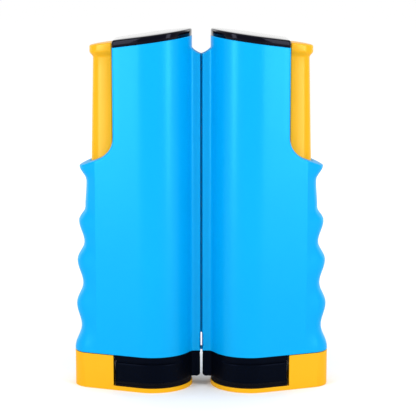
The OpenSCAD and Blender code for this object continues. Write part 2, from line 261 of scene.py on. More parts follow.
# Samples round the lip's end: distance out from the tip, share of the half thickness. The lips of
# the two posts meet near the slot, and stand a little apart further out.
LIP_STEP = 0.45
LIP_REACH = 0.9          # the lip's end runs this far out from its tip
LIP_WALL = 1.7           # from the tip in to the hollow inside the lip
LIP_HOLLOW = (2.7, 3.4, 6.1)  # half thickness of that hollow at the slot, behind the end and at the housing
LIP_HOLLOW_FROM = 2.3    # the hollow widens from this far out from the tip
ROUND_FROM = 4.4         # a tip drawn back further than this starts to follow the housing's round
LIP_END = [(1.3, 0), (0.3, 0), (0.09, 0.02), (0, 0.08), (0, 0.22), (LIP_STEP, 0.27), (LIP_STEP, 0.82)]
LIP_END += [
    (LIP_STEP + 0.6 * (1 - math.cos(a)), 0.82 + 0.18 * math.sin(a)) for a in spread(0, math.pi / 2, 4)[1:]
]
LIP_SIDE = spread(0, 1, 9)[1:]


def lip_row(z):
    """Section of the lip at height z, from the slot to the housing: outer and inner points."""
    tip = lip_tip(z)
    slot = SLOT_HALF if z < SLOT_TOP else SEAM
    start = min(tip + LIP_REACH, FILLET_END_X)
    at_slot, behind, at_housing = LIP_HOLLOW
    side = lip_front(start)
    outer = [(SLOT_IN, slot)]
    inner = [(SLOT_IN, at_slot)]
    for out, share in LIP_END:
        y = slot + (side - slot) * share
        outer.append((min(tip + out, HOUSING_X - math.sqrt(HOUSING_R ** 2 - y ** 2)), y))
        inner.append((max(tip + LIP_WALL, tip + out), at_slot + 0.7 * share))
    for share in LIP_SIDE:
        x = start + (FILLET_END_X - start) * share
        outer.append((x, lip_front(x)))
        x = tip + LIP_HOLLOW_FROM + (SLOT_IN + 0.6 - tip - LIP_HOLLOW_FROM) * share
        inner.append((x, behind + (at_housing - behind) * share ** 4))
    round_end = smooth((tip - ROUND_FROM) / (FILLET_END_X - ROUND_FROM))
    if round_end:
        count = len(outer) - 1
        for i in range(1, count + 1):
            y = slot + (FILLET_END_Y - slot) * i / count
            x = HOUSING_X - math.sqrt(HOUSING_R ** 2 - y ** 2)
            x0, y0 = outer[i]
            outer[i] = (x0 + (x - x0) * round_end, y0 + (y - y0) * round_end)
    return outer, inner


def shelf_z(x, back=0.0):
    """Height of the thumb notch's edge at x, moved into the post by back."""
    reach = NOTCH_R + back
    end = NOTCH_X + NOTCH_R - reach * math.cos(NOTCH_TURN)
    drop = reach * math.sin(NOTCH_TURN)
    if x <= end:
        return NOTCH_Z - math.sqrt(max(0, reach ** 2 - (NOTCH_X + NOTCH_R - x) ** 2))
    return NOTCH_Z - drop - (x - end) * math.tan(math.pi / 2 - NOTCH_TURN)


def notch_normal(x, z):
    """Direction in the side view that the notch's surface faces at (x, z)."""
    if z >= NOTCH_Z:
        return Vector((1, 0, 0))
    turn = min(math.atan2(NOTCH_Z - z, NOTCH_X + NOTCH_R - x), NOTCH_TURN)
    return Vector((math.cos(turn), 0, math.sin(turn)))


def pressed(x, z):
    return x if x <= FLEX_X else FLEX_X + (x - FLEX_X) * (grip_edge(z) - FLEX_X) / (GRIP_END - FLEX_X)


# Heights of the skin's rows. Above LEVEL_TOP they tilt little by little to the slope of the top.
GROOVE_TOP = 106
LEVEL_TOP = 160
LOW_ROWS = [SHELL_Z, SHELL_Z + 0.25, 18.7, 19.1] + spread(20.5, 26.6, 4) + [27.2]
LOW_ROWS += spread(28.5, GROOVE_TOP, 52) + spread(GROOVE_TOP, NOTCH_Z, 14)[1:]
HIGH_ROWS = spread(NOTCH_Z, SLOT_TOP, 9)[1:-1] + [SLOT_TOP - 0.02, SLOT_TOP + 0.02]
HIGH_ROWS += spread(LEVEL_TOP, LIP_TOP, 3)
HIGH_ROWS += [LIP_TOP + SWEEP_R * (1 - math.cos(a)) for a in spread(0, math.pi / 2, 9)[1:]]
HIGH_ROWS += [174.2, SHELL_TOP - 0.25, SHELL_TOP]


def row_z(nominal, x):
    if nominal <= LEVEL_TOP:
        return nominal
    return LEVEL_TOP + (nominal - LEVEL_TOP) * (top_z(x) - LEVEL_TOP) / (SHELL_TOP - LEVEL_TOP)


def facing(angle):
    return Vector((math.cos(angle), math.sin(angle), 0))


def housing_columns():
    """Round and flat stretch of the housing, from the lip to the notch: points with their normals."""
    columns = [(on_housing(a), a) for a in spread(FILLET_END, SIDE_ANGLE, 26)[1:]]
    start = columns[-1][0][0]
    columns += [((x, flat_y(x)), SIDE_ANGLE) for x in spread(start, NOTCH_X - RIM, 4)[1:]]
    return [(x, y, facing(a)) for (x, y), a in columns]


NOSE_R = 8.6             # rounding of the grip's end above its foot, where the sides turn in at a crease
NOSE_X = GRIP_END - NOSE_R
CREASE_Y = flat_y(FLEX_X)
CREASE_TURN = math.atan2(CREASE_Y, FLEX_X - NOSE_X)
CREASE_TURN -= math.acos(NOSE_R / math.hypot(CREASE_Y, FLEX_X - NOSE_X))
NOSE_STEPS = 18
TURN_IN_STEPS = 5
NOSE_TURN_FROM = 1       # above the foot, the grip's end turns from the jaw's outline into the creased one
NOSE_TURN_OVER = 14


def nose_foot(i):
    """Point i on the grip's end at its foot, which follows the jaw's outline."""
    x_join = on_grip(SIDE_ANGLE)[0]
    if i <= TURN_IN_STEPS:
        x = FLEX_X + (x_join - FLEX_X) * i / TURN_IN_STEPS
        return x, flat_y(x), SIDE_ANGLE
    angle = SIDE_ANGLE * (NOSE_STEPS - i) / (NOSE_STEPS - TURN_IN_STEPS)
    return *on_grip(angle), angle


def nose_creased(i):
    """Point i on the grip's end where its sides turn in at a crease."""
    if i <= TURN_IN_STEPS:
        t = (i / TURN_IN_STEPS) ** 2
        x = NOSE_X + NOSE_R * math.cos(CREASE_TURN)
        y = NOSE_R * math.sin(CREASE_TURN)
        return FLEX_X + (x - FLEX_X) * t, CREASE_Y + (y - CREASE_Y) * t, CREASE_TURN
    angle = CREASE_TURN * (NOSE_STEPS - i) / (NOSE_STEPS - TURN_IN_STEPS)
    return NOSE_X + NOSE_R * math.cos(angle), NOSE_R * math.sin(angle), angle


def nose(i, z):
    """Point i on the grip's end at height z, with its normal."""
    share = smooth((z - SHELL_Z - NOSE_TURN_FROM) / NOSE_TURN_OVER)
    (x0, y0, a0), (x1, y1, a1) = nose_foot(i), nose_creased(i)
    y = y0 + (y1 - y0) * share
    return x0 + (x1 - x0) * share, max(y, SEAM), facing(a0 + (a1 - a0) * share)


def grip_columns():
    """Columns of the grip's skin, each a function from height to a point and its normal."""
    reach = NOTCH_R + RIM
    xs = [NOTCH_X + NOTCH_R - reach * math.cos(a) for a in spread(0, NOTCH_TURN, 10)]
    xs += spread(xs[-1], FLEX_X - 0.3, 2)[1:]
    columns = [lambda z, x=x: (x, flat_y(x), facing(SIDE_ANGLE)) for x in xs]
    return columns + [lambda z, i=i: nose(i, z) for i in range(NOSE_STEPS + 1)]


END_INSET = 0.2
SETTLE_STEPS = 12        # steps that find where a column meets the notch
LID_SHARE = 1.2          # depth of the shelf's inner face, as a share of what the wall has beyond its rim


def inset_rim(point, normal, nominal, top):
    """Pulls the lowest and highest rows in a little, which rounds the shell's ends."""
    if nominal == SHELL_Z or nominal == top:
        return point - END_INSET * normal
    return point


def housing_grid():
    rows = []
    for nominal in LOW_ROWS + HIGH_ROWS:
        outer, inner = lip_row(nominal)
        row = []
        for (x, y), (xi, yi) in zip(outer, inner):
            z = row_z(nominal, x)
            row.append((Vector((x, y, z)), Vector((xi, yi, z))))
        for x, y, normal in housing_columns():
            point = Vector((x, y, row_z(nominal, x)))
            row.append((inset_rim(point, normal, nominal, SHELL_TOP), point - WALL * normal))
        rows.append(row)
    return rows


def grip_grid():
    """Columns of the grip's skin, each from the foot up to the notch: points with what lies behind them."""
    columns = []
    for place_at in grip_columns():
        top = shelf_z(place_at(GROOVE_TOP)[0], RIM)
        for _ in range(SETTLE_STEPS):
            top = shelf_z(pressed(place_at(top)[0], top), RIM)
        column = []
        for nominal in LOW_ROWS:
            z = nominal
            if z > GROOVE_TOP:
                z = GROOVE_TOP + (z - GROOVE_TOP) * (top - GROOVE_TOP) / (NOTCH_Z - GROOVE_TOP)
            x, y, normal = place_at(z)
            point = Vector((pressed(x, z), y, z))
            squeeze = (grip_edge(z) - FLEX_X) / (GRIP_END - FLEX_X) if x > FLEX_X else 1
            outward = Vector((normal.x / squeeze, normal.y, 0)).normalized()
            hidden = point - WALL * outward
            if z > GROOVE_TOP:
                lid = top - LID_SHARE * (WALL - RIM)
                hidden.z = GROOVE_TOP + (z - GROOVE_TOP) * (lid - GROOVE_TOP) / (top - GROOVE_TOP)
            column.append((inset_rim(point, outward, nominal, None), hidden, outward))
        columns.append(column)
    return columns


def hole_y(x):
    """Half width of the slider's way through the shelf at x."""
    if x - SLIDER_MID < WAY_R * math.cos(SIDE_ANGLE):
        return (WAY_R - (x - SLIDER_MID) * math.cos(SIDE_ANGLE)) / math.sin(SIDE_ANGLE)
    return max(SEAM, math.sqrt(max(0, WAY_R ** 2 - (x - SLIDER_MID) ** 2)))


def rim_station(point, normal):
    """Rounds the edge where the skin ends at the notch: its corner, points, inner corner and direction."""
    outward = notch_normal(point.x + RIM, point.z)
    along = (outward - outward.dot(normal) * normal).normalized()
    corner = point + along * (RIM / along.dot(outward))
    end = corner + Vector((0, -1, 0)) * RIM
    rim = [point * (1 - t) ** 2 + corner * 2 * t * (1 - t) + end * t * t for t in spread(0, 1, 4)]
    hidden = corner - (normal + outward) * (WALL / (1 + normal.dot(outward)))
    return corner, rim, hidden, outward


def notch_wall(grid, columns):
    """Strips that run from the notch's edge in to the seam or to the slider's way through."""
    corner_column = len(grid[0]) - 1
    stations = []
    for row, nominal in zip(reversed(grid), reversed(LOW_ROWS + HIGH_ROWS)):
        if nominal >= NOTCH_Z:
            stations.append((row[corner_column][0], FLAT_NORMAL, True))
    stations += [(column[-1][0], column[-1][2], False) for column in columns[1:]]
    strips = []
    for point, normal, upright in stations:
        corner, rim, hidden, outward = rim_station(point, normal)
        edge = SEAM if corner.x > SLIDER_MID + WAY_R else hole_y(corner.x)
        start = rim[-1].y
        stops = [start + (min(edge, start) - start) * t for t in (0.35, 0.7, 1)]
        if upright:
            stops += [edge * 0.5, SEAM]
        line = [(p, hidden) for p in rim]
        line += [
            (Vector((corner.x, y, corner.z)), Vector((corner.x, y, corner.z)) - outward * WALL) for y in stops
        ]
        strips.append(line)
    split = sum(upright for _, _, upright in stations)
    return strips, split


class Skin:
    """Collects grids of (outer, inner) points and closes them into one solid mesh."""

    def __init__(self):
        self.index = {}
        self.outer, self.inner, self.faces = [], [], []

    def vertex(self, outer, inner):
        key = tuple(round(c, 3) for c in outer)
        if key not in self.index:
            self.index[key] = len(self.outer)
            self.outer.append(outer)
            self.inner.append(inner)
        return self.index[key]

    def grid(self, rows, flip=False):
        ids = [[self.vertex(p[0], p[1]) for p in row] for row in rows]
        for below, above in zip(ids, ids[1:]):
            for i in range(len(below) - 1):
                quad = [below[i], below[i + 1], above[i + 1], above[i]]
                face = [v for n, v in enumerate(quad) if v not in quad[:n]]
                if len(face) > 2:
                    self.faces.append(face[::-1] if flip else face)

    def closed(self):
        """Vertices and faces of the solid: the outer skin, the inner one, and the edges between."""
        count = len(self.outer)
        used = {}
        for face in self.faces:
            for a, b in zip(face, face[1:] + face[:1]):
                used[(a, b)] = used.get((a, b), 0) + 1
        sides = [(b, a, a + count, b + count) for a, b in used if (b, a) not in used]
        inside = [[v + count for v in reversed(face)] for face in self.faces]
        return self.outer + self.inner, self.faces + inside + sides


def shell_skin():
    skin = Skin()
    housing, grip = housing_grid(), grip_grid()
    strips, split = notch_wall(housing, grip)
    skin.grid(strips[:split], flip=True)
    skin.grid([line[:-2] if i == 0 else line for i, line in enumerate(strips[split - 1:])], flip=True)
    skin.grid(housing)
    skin.grid(grip, flip=True)
    return skin.closed()


WELD = 2e-6              # metres
SLIVER = 1e-6
SHARP_ANGLE = math.radians(38)


def solid(name, points, faces, side=1, back=False, weld=True):
    """A mesh object from points in mm, drawn for the right post's rear half and mirrored from there."""
    mirror = Matrix.Diagonal((side * MM, MM if back else -MM, MM, 1))
    bm = bmesh.new()
    vertices = [bm.verts.new(mirror @ Vector(p)) for p in points]
    for face in faces:
        if len(set(face)) == len(face):
            try:
                bm.faces.new([vertices[i] for i in face])
            except ValueError:
                pass
    if weld:
        bmesh.ops.remove_doubles(bm, verts=bm.verts, dist=WELD)
        bmesh.ops.dissolve_degenerate(bm, edges=bm.edges, dist=SLIVER)
    bmesh.ops.recalc_face_normals(bm, faces=bm.faces)
    for face in bm.faces:
        face.smooth = True
    for edge in bm.edges:
        edge.smooth = not edge.is_manifold or edge.calc_face_angle() < SHARP_ANGLE
    mesh = bpy.data.meshes.new(name)
    bm.to_mesh(mesh)
    bm.free()
    piece = bpy.data.objects.new(name, mesh)
    bpy.context.scene.collection.objects.link(piece)
    return piece


def mark_sharp(mesh):
    """Cleans a mesh after a cut, and shades it smooth except across its sharp edges."""
    bm = bmesh.new()
    bm.from_mesh(mesh)
    bmesh.ops.remove_doubles(bm, verts=bm.verts, dist=WELD)
    bmesh.ops.dissolve_degenerate(bm, edges=bm.edges, dist=SLIVER)
    for face in bm.faces:
        face.smooth = True
    for edge in bm.edges:
        edge.smooth = edge.is_manifold and edge.calc_face_angle() < SHARP_ANGLE
    bm.to_mesh(mesh)
    bm.free()


ROD_STEPS = 48


def rod(name, x, z, y0, y1, r, side, back=True):
    """A cylinder from front to back through the post, for cutting or joining."""
    rings = []
    for y in (y0, y1):
        turn = [2 * math.pi * i / ROD_STEPS for i in range(ROD_STEPS)]
        rings.append([(x + r * math.cos(a), y, z + r * math.sin(a)) for a in turn])
    return solid(name, *loft(rings), side, back)


def combine(piece, operation, others):
    """Joins others to piece, or cuts them out of it, and removes them."""
    for other in others:
        step = piece.modifiers.new("combine", "BOOLEAN")
        step.operation = operation
        step.solver = "EXACT"
        step.object = other
    bpy.context.view_layer.update()
    graph = bpy.context.evaluated_depsgraph_get()
    mesh = bpy.data.meshes.new_from_object(piece.evaluated_get(graph))
    piece.modifiers.clear()
    old = piece.data
    piece.data = mesh
    bpy.data.meshes.remove(old)
    mesh.name = piece.name
    for other in others:
        shape = other.data
        bpy.data.objects.remove(other)
        bpy.data.meshes.remove(shape)
    mark_sharp(mesh)


# ---- Closed rings round a post, seen from above. All have the same count of points, so they can be lofted.

CORNER = 1.2             # rounding of the corners at the outer end of a cap
BASE_LIP_END = [(0, 0), (0, 0.45), (0, 0.82)]
BASE_LIP_END += [(0.9 * (1 - math.cos(a)), 0.82 + 0.18 * math.sin(a)) for a in spread(0, math.pi / 2, 4)[1:]]
LIP_POINTS = len(BASE_LIP_END) + len(LIP_SIDE) - 1


def loft(rings):
    """Points and faces of a solid that runs through closed rings; the first and last are filled."""
    count = len(rings[0])
    points = [p for ring in rings for p in ring]
    faces = [list(range(count))[::-1], list(range(len(points) - count, len(points)))]
    for k in range(len(rings) - 1):
        for i in range(count):
            j = (i + 1) % count
            faces.append([k * count + i, k * count + j, (k + 1) * count + j, (k + 1) * count + i])
    return points, faces


def mirrored(half):
    return half + [(x, -y) for x, y in reversed(half[1:-1])]


def half_ring(inset, end, corner=CORNER, tip=None):
    """Half of the outline drawn inward by inset, from its inner to its outer end. tip is the lip's."""
    r = HOUSING_R - inset
    if tip is None:
        points = [on_housing(a, r) for a in spread(math.pi, FILLET_END, LIP_POINTS)[:-1]]
    else:
        start = tip + LIP_REACH
        points = [(tip + out, lip_front(start) * share) for out, share in BASE_LIP_END]
        xs = [start + (FILLET_END_X - start) * share for share in LIP_SIDE[:-1]]
        points += [(x, lip_front(x) - inset) for x in xs]
    points += [on_housing(a, r) for a in spread(FILLET_END, SIDE_ANGLE, 26)]
    tight = max(corner - inset, 0.05)
    cx = end - inset - tight
    cy = (r - tight - (cx - HOUSING_X) * math.cos(SIDE_ANGLE)) / math.sin(SIDE_ANGLE)
    x0, y0 = points[-1]
    x1, y1 = cx + tight * math.cos(SIDE_ANGLE), cy + tight * math.sin(SIDE_ANGLE)
    points += [(x0 + (x1 - x0) * t, y0 + (y1 - y0) * t) for t in (0.35, 0.7, 0.9, 0.92)]
    points += [(cx + tight * math.cos(a), cy + tight * math.sin(a)) for a in spread(SIDE_ANGLE, 0, 5)]
    return points + [(end - inset, cy * t) for t in (0.5, 0)]


def round_ring(r, height):
    """Circle about the spindle whose points match a post's ring."""
    ring = []
    for x, y in mirrored(half_ring(SPIGOT_RIM, NOTCH_X)):
        turn = math.atan2(y, x - HOUSING_X)
        ring.append(Vector((HOUSING_X + r * math.cos(turn), r * math.sin(turn), height)))
    return ring


# ---- Caps

SPINDLE_BORE = 2
BOSS_R = 4.5
EDGE_R = 1.1             # rounding along the top cap's upper edge
CAP_T = 3.9
TOP_BOSS_FOOT = 161
BORE_TOP = 172
SPIGOT_RIM = 3.3         # inset of the inner face of a cap's spigot
PANEL = 0.6              # depth of the panel at the base cap's outer end, as a share of the groove's


def cap_ring(inset, depth):
    ring = mirrored(half_ring(inset, NOTCH_X))
    return [Vector((x, y, POST_H - (x - cap_low.x) * TOP_SLOPE - depth)) for x, y in ring]


def top_cap():
    crown = [(12, 0), (8, 0.02), (5, 0.08), (2.5, 0.2)]
    edge = [(EDGE_R * (1 - math.sin(a)), 0.3 + EDGE_R * (1 - math.cos(a))) for a in spread(0, math.pi / 2, 5)]
    foot = [(0, CAP_T - 0.2), (0.06, CAP_T - 0.06), (0.2, CAP_T), (2.1, CAP_T)]
    spigot = [(2.1, CAP_T + 3.2), (2.3, CAP_T + 3.5), (3.1, CAP_T + 3.5)]
    spigot += [(SPIGOT_RIM, CAP_T + 3.3), (SPIGOT_RIM, CAP_T)]
    rings = [cap_ring(inset, depth) for inset, depth in crown + edge + foot + spigot]
    level = POST_H - (HOUSING_X - cap_low.x) * TOP_SLOPE - CAP_T
    rim = round_ring(BOSS_R, level)
    for point in rim:
        point.z -= (point.x - HOUSING_X) * TOP_SLOPE
    rings += [rim, round_ring(BOSS_R, TOP_BOSS_FOOT + 0.3), round_ring(BOSS_R - 0.3, TOP_BOSS_FOOT)]
    rings += [round_ring(SPINDLE_BORE, TOP_BOSS_FOOT), round_ring(SPINDLE_BORE, BORE_TOP)]
    return loft(rings)


GROOVE_DEPTH = 0.8
GROOVE_STARTS = 8        # the base cap's groove fades in between these two distances
GROOVE_FULL = 16
GROOVE_LOW = 13.9        # the lip's tip stands back between these heights, by BASE_TIP_BACK
GROOVE_HIGH = 16.8
BASE_TIP_BACK = 0.25
BASE_TIP_R = 1.3
BASE_FLOOR = base_low.z + 2


def base_tip(z):
    """Tip of the base cap's lip: it stands back at the groove, and its foot is rounded."""
    standing = smooth((z - GROOVE_LOW) / 0.8) * smooth((GROOVE_HIGH - z) / 0.8)
    tip = base_low.x + BASE_TIP_BACK * standing
    sunk = min(BASE_TIP_R, max(0, base_low.z + BASE_TIP_R - z))
    return tip + BASE_TIP_R - math.sqrt(BASE_TIP_R ** 2 - sunk ** 2)


def base_ring(z, inset=0.0, groove=0.0, panel=0.0):
    """Outline of the base cap at z. groove cuts in all along, and panel only at the outer end."""
    tip = base_tip(z)
    near = half_ring(inset, base_high.x, 0.5, tip)
    far = half_ring(inset + GROOVE_DEPTH, base_high.x, 0.5, tip)
    half = []
    for i, ((x0, y0), (x1, y1)) in enumerate(zip(near, far)):
        share = groove * smooth((x0 - GROOVE_STARTS) / (GROOVE_FULL - GROOVE_STARTS))
        if i >= len(near) - 9:
            share = max(share, panel)
        half.append((x0 + (x1 - x0) * share, y0 + (y1 - y0) * share))
    return [Vector((x, y, z)) for x, y in mirrored(half)]


def base_cap():
    level = base_low.z
    sunk = [(level, 0.35), (level + 0.1, 0.12), (level + 0.35, 0.0)]
    rings = [base_ring(z, inset, 0, PANEL) for z, inset in sunk]
    rings += [base_ring(z, 0, 0, PANEL) for z in (level + 0.7, level + 1, level + 1.3, 10, 13.4, 13.98)]
    rings += [base_ring(14.2, 0, 0.15, PANEL), base_ring(14.4, 0, 0.4, PANEL), base_ring(14.55, 0, 1)]
    rings += [base_ring(15.4, 0, 1), base_ring(15.42)]
    rings += [base_ring(16.2), base_ring(17), base_ring(17.85), base_ring(SHELL_Z, 0.15)]
    inside = [(2.1, SHELL_Z), (2.1, SHELL_Z + 2), (2.3, SHELL_Z + 2.2), (3.1, SHELL_Z + 2.2)]
    inside += [(SPIGOT_RIM, SHELL_Z + 2), (SPIGOT_RIM, BASE_FLOOR)]
    for inset, z in inside:
        rings.append([Vector((x, y, z)) for x, y in mirrored(half_ring(inset, base_high.x))])
    rings += [round_ring(BOSS_R, z) for z in (BASE_FLOOR, SHELL_Z + 0.3)]
    rings += [round_ring(BOSS_R - 0.3, SHELL_Z + 0.6), round_ring(SPINDLE_BORE, SHELL_Z + 0.6)]
    return loft(rings + [round_ring(SPINDLE_BORE, BASE_FLOOR)])


# ---- Slider bar

SLIDER_BACK = slider_low.x - 0.5
SLIDER_WALL = 1.6
FOOT_BACK = SLIDER_BACK + 2
FLANGE_R = slider_high.x - SLIDER_MID - 0.4
BAR_TOP_R = 5.2          # what shows of the bar widens from here down to the shelf
BAR_LOW_R = 6.6
BAR_SWELL = (105, 111)
FLARE_Z = 165.6
FLARE_TOP = 168.9
THUMB_DROP = 1.3
THUMB_ROUND = 0.8
THROUGH = 15             # cutting shapes reach this far to the front and the rear
CHANNEL = (14, 163)      # the bar is hollow between these heights, and open at its back
PIN_X = 49
PIN_SLOT = (64, 106)
PIN_SLOT_HALF = 1.7
PIN_HOLE_R = 1.25
SLIDER_PIN_Z = 22
SOCKET_TOP = 17.8


def slider_section(r, back, corner=0.5):
    """Half of the bar's outline: a flat back, a side that tapers as the post's does, and a round front."""
    cx = back + corner
    cy = (r - corner - (cx - SLIDER_MID) * math.cos(SIDE_ANGLE)) / math.sin(SIDE_ANGLE)
    half = [(back, 0), (back, cy * 0.5)]
    half += [(cx + corner * math.cos(a), cy + corner * math.sin(a)) for a in spread(math.pi, SIDE_ANGLE, 4)]
    return half + [(SLIDER_MID + r * math.cos(a), r * math.sin(a)) for a in spread(SIDE_ANGLE, 0, 20)]


def thumb_z(x):
    return POST_H - (x - cap_low.x) * TOP_SLOPE - THUMB_DROP


def slider_ring(r, z, back=SLIDER_BACK, corner=0.5):
    """Ring of the bar at height z, tilted to the thumb rest's slope near the top."""
    tilt = smooth((z - LEVEL_TOP) / (thumb_z(PIN_X) - LEVEL_TOP))
    ring = mirrored(slider_section(r, back, corner))
    return [Vector((x, y, z + (thumb_z(x) - thumb_z(PIN_X)) * tilt)) for x, y in ring]


def bar_r(z):
    """The bar's radius at height z, below its thumb rest."""
    low, high = BAR_SWELL
    if z <= high:
        return SLIDER_R + (BAR_LOW_R - SLIDER_R) * smooth((z - low) / (high - low))
    return BAR_LOW_R + (BAR_TOP_R - BAR_LOW_R) * (z - high) / (FLARE_Z - high)


def slider_body():
    foot = [slider_ring(SLIDER_R - 0.4, slider_low.z, FOOT_BACK + 0.4)]
    foot += [slider_ring(SLIDER_R, z, FOOT_BACK) for z in (slider_low.z + 0.4, SOCKET_TOP)]
    foot.append(slider_ring(SLIDER_R, SOCKET_TOP))
    low, high = BAR_SWELL
    heights = [18.5, 40, 70, low] + spread(low, high, 6)[1:] + spread(high, FLARE_Z, 8)[1:]
    bar = [slider_ring(bar_r(z), z) for z in heights]
    for z in spread(FLARE_Z, FLARE_TOP, 8)[1:]:
        t = (z - FLARE_Z) / (FLARE_TOP - FLARE_Z)
        bar.append(slider_ring(BAR_TOP_R + (FLANGE_R - BAR_TOP_R) * smooth(t), z))
    top = thumb_z(PIN_X)
    for a in spread(0, math.pi / 2, 5):
        inset = THUMB_ROUND * (1 - math.cos(a))
        height = top - 0.25 - THUMB_ROUND * (1 - math.sin(a))
        ring = slider_ring(FLANGE_R - inset, height, SLIDER_BACK + inset)
        bar.append(ring)
    crown = [
        slider_ring(FLANGE_R - inset, top - drop, SLIDER_BACK + inset) for inset, drop in ((1.8, 0.1), (3, 0))
    ]
    return loft(foot + bar + crown)


def prism(name, outline, z0, z1, side):
    """Upright prism for cutting."""
    return solid(name, *loft([[(x, y, z) for x, y in outline] for z in (z0, z1)]), side, True)


def slider_piece(name, side):
    piece = solid(name, *slider_body(), side, True)
    channel = slider_section(SLIDER_R - SLIDER_WALL, SLIDER_BACK - 1, 0.1)
    cuts = [prism("cut", mirrored(channel), *CHANNEL, side)]
    near, far = PIN_X - PIN_SLOT_HALF, PIN_X + PIN_SLOT_HALF
    box = [(near, -THROUGH), (far, -THROUGH), (far, THROUGH), (near, THROUGH)]
    cuts.append(prism("cut", box, *PIN_SLOT, side))
    cuts += [rod("cut", PIN_X, z, -THROUGH, THROUGH, PIN_SLOT_HALF, side) for z in PIN_SLOT]
    cuts.append(rod("cut", PIN_X, SLIDER_PIN_Z, -THROUGH, THROUGH, PIN_HOLE_R, side))
    combine(piece, "DIFFERENCE", cuts)
    return piece


# ---- Screws through the shells

SCREWS = [(12, 164), (38.2, 163.5), (56.2, 84.3), (56.2, 41.8)]   # x and z
SCREW_SINK = 2.8
SHELL_BOSS_R = 2.8
COUNTERBORE_R = 2.3
CLEARANCE_R = 1.2
OUTSIDE = 25             # beyond the skin


def half_at(x):
    """Half thickness at x of a post whose grip has its full round end, as at its foot."""
    if x < on_housing(SIDE_ANGLE)[0]:
        return math.sqrt(HOUSING_R ** 2 - (x - HOUSING_X) ** 2)
    if x < on_grip(SIDE_ANGLE)[0]:
        return flat_y(x)
    return math.sqrt(GRIP_R ** 2 - (x - GRIP_X) ** 2)


def screw_seat(x):
    """Distance from the seam to the underside of a screw's head."""
    return min(half_at(x - COUNTERBORE_R), half_at(x + COUNTERBORE_R)) - SCREW_SINK


def inside_at(x, z):
    """Half thickness inside the skin of the grip or the housing round a screw."""
    skin = [(pressed(sx, z), sy) for sx, sy, _ in (place_at(z) for place_at in grip_columns())]
    halves = []
    for edge in (x - SHELL_BOSS_R, x + SHELL_BOSS_R):
        if edge <= skin[0][0]:
            halves.append(half_at(edge))
        for (x0, y0), (x1, y1) in zip(skin, skin[1:]):
            if x0 < edge <= x1:
                halves.append(y0 + (y1 - y0) * (edge - x0) / (x1 - x0))
    return min(halves) - 0.3


def boss_start(x):
    """A boss starts at the seam, or where it is clear of the slider's way."""
    reach = WAY_R ** 2 - (x - SHELL_BOSS_R - SLIDER_MID) ** 2
    return max(SEAM + 0.1, math.sqrt(max(reach, 0)))


def fit_screws(piece, side, back):
    """Bosses inside the shell, and for a rear shell the holes for the screws and their heads."""
    bosses = [rod("boss", x, z, boss_start(x), inside_at(x, z), SHELL_BOSS_R, side, back) for x, z in SCREWS]
    combine(piece, "UNION", bosses)
    if back:
        holes = [rod("hole", x, z, -1, screw_seat(x) + 0.5, CLEARANCE_R, side, back) for x, z in SCREWS]
        holes += [rod("hole", x, z, screw_seat(x), OUTSIDE, COUNTERBORE_R, side, back) for x, z in SCREWS]
        combine(piece, "DIFFERENCE", holes)


# ---- Net

def joint_range(name):
    return next(j["range_m"] for j in frame["record"]["behaviour"]["joints"] if j["name"] == name)


span_low, span_high = box_mm("net_span")
tape_low, tape_high = box_mm("net_tape")
ROLL_R = box_mm("right_net_roll")[1].y - 0.25
TUBE_R = box_mm("right_core_tube")[1].y
ROLL_START_R = TUBE_R + 0.4
ROLL_TURNS = 12
ROLL_STEPS = 40          # points in a turn
SLOT_TURN_X = 7.2        # where the net turns into the slot
LEAVE_R = ROLL_R + 0.85  # the net leaves the roll on a tangent at this radius
LEAVE_TURN = math.acos(LEAVE_R / (HOUSING_X - SLOT_TURN_X))
LEAVE_AT = (HOUSING_X - LEAVE_R * math.cos(LEAVE_TURN), LEAVE_R * math.sin(LEAVE_TURN))
PULL = joint_range("net_pull")[1] / MM
STRETCH_X = 7            # the net gives within this distance of the meeting plane
CELL = 8.5               # pitch of the net's upright strands when it is drawn out
STRAND_W = 0.9
STRAND_T = 0.5
NET_ROWS = 13
HALVINGS = 40
FOOT_CORD = (0.45, 0.9)  # half thickness and half height of the cord at the net's foot
WOUND_NET_T = 0.3
WOUND_TAPE_T = 0.38
TAPE_HALF = 0.4
UPRIGHT_LESS = 0.03      # upright strands are this much thinner on each side, so that no faces coincide


def wound(z0, z1, thickness):
    """A strip wound on the core tube, from where it leaves the roll inward."""
    steps = ROLL_TURNS * ROLL_STEPS
    rows = [[], []]
    for i in range(steps + 1):
        turn = math.pi - LEAVE_TURN - 2 * math.pi * i / ROLL_STEPS
        r = ROLL_R - (ROLL_R - ROLL_START_R) * i / steps
        for row, z in zip(rows, (z0, z1)):
            outer, inner = [
                Vector((HOUSING_X + reach * math.cos(turn), reach * math.sin(turn), z))
                for reach in (r + thickness / 2, r - thickness / 2)
            ]
            row.append((outer, inner))
    skin = Skin()
    skin.grid(rows)
    return skin.closed()


def rest_x(drawn):
    """Where a point of the net lies at rest, from its place with the posts fully apart."""
    low, high = -STRETCH_X, STRETCH_X
    for _ in range(HALVINGS):
        middle = (low + high) / 2
        if middle + PULL * smooth((middle + STRETCH_X) / (2 * STRETCH_X)) < drawn:
            low = middle
        else:
            high = middle
    return (low + high) / 2


CELLS = round((PULL + 2 * STRETCH_X) / CELL)
SPAN_XS = [rest_x(-STRETCH_X + (PULL + 2 * STRETCH_X) * i / CELLS) for i in range(CELLS + 1)]
TAIL = [(SLOT_TURN_X, 0)]
TAIL += [(SLOT_TURN_X + (LEAVE_AT[0] - SLOT_TURN_X) * t, LEAVE_AT[1] * t) for t in (0.5, 1)]
SPAN_WAY = [(-x, y) for x, y in reversed(TAIL)] + [(x, 0) for x in SPAN_XS] + TAIL


def along_span(profile):
    """A strip of the given profile, in (y, z), from one roll to the other."""
    return loft([[(x, y + across, z) for across, z in profile] for x, y in SPAN_WAY])


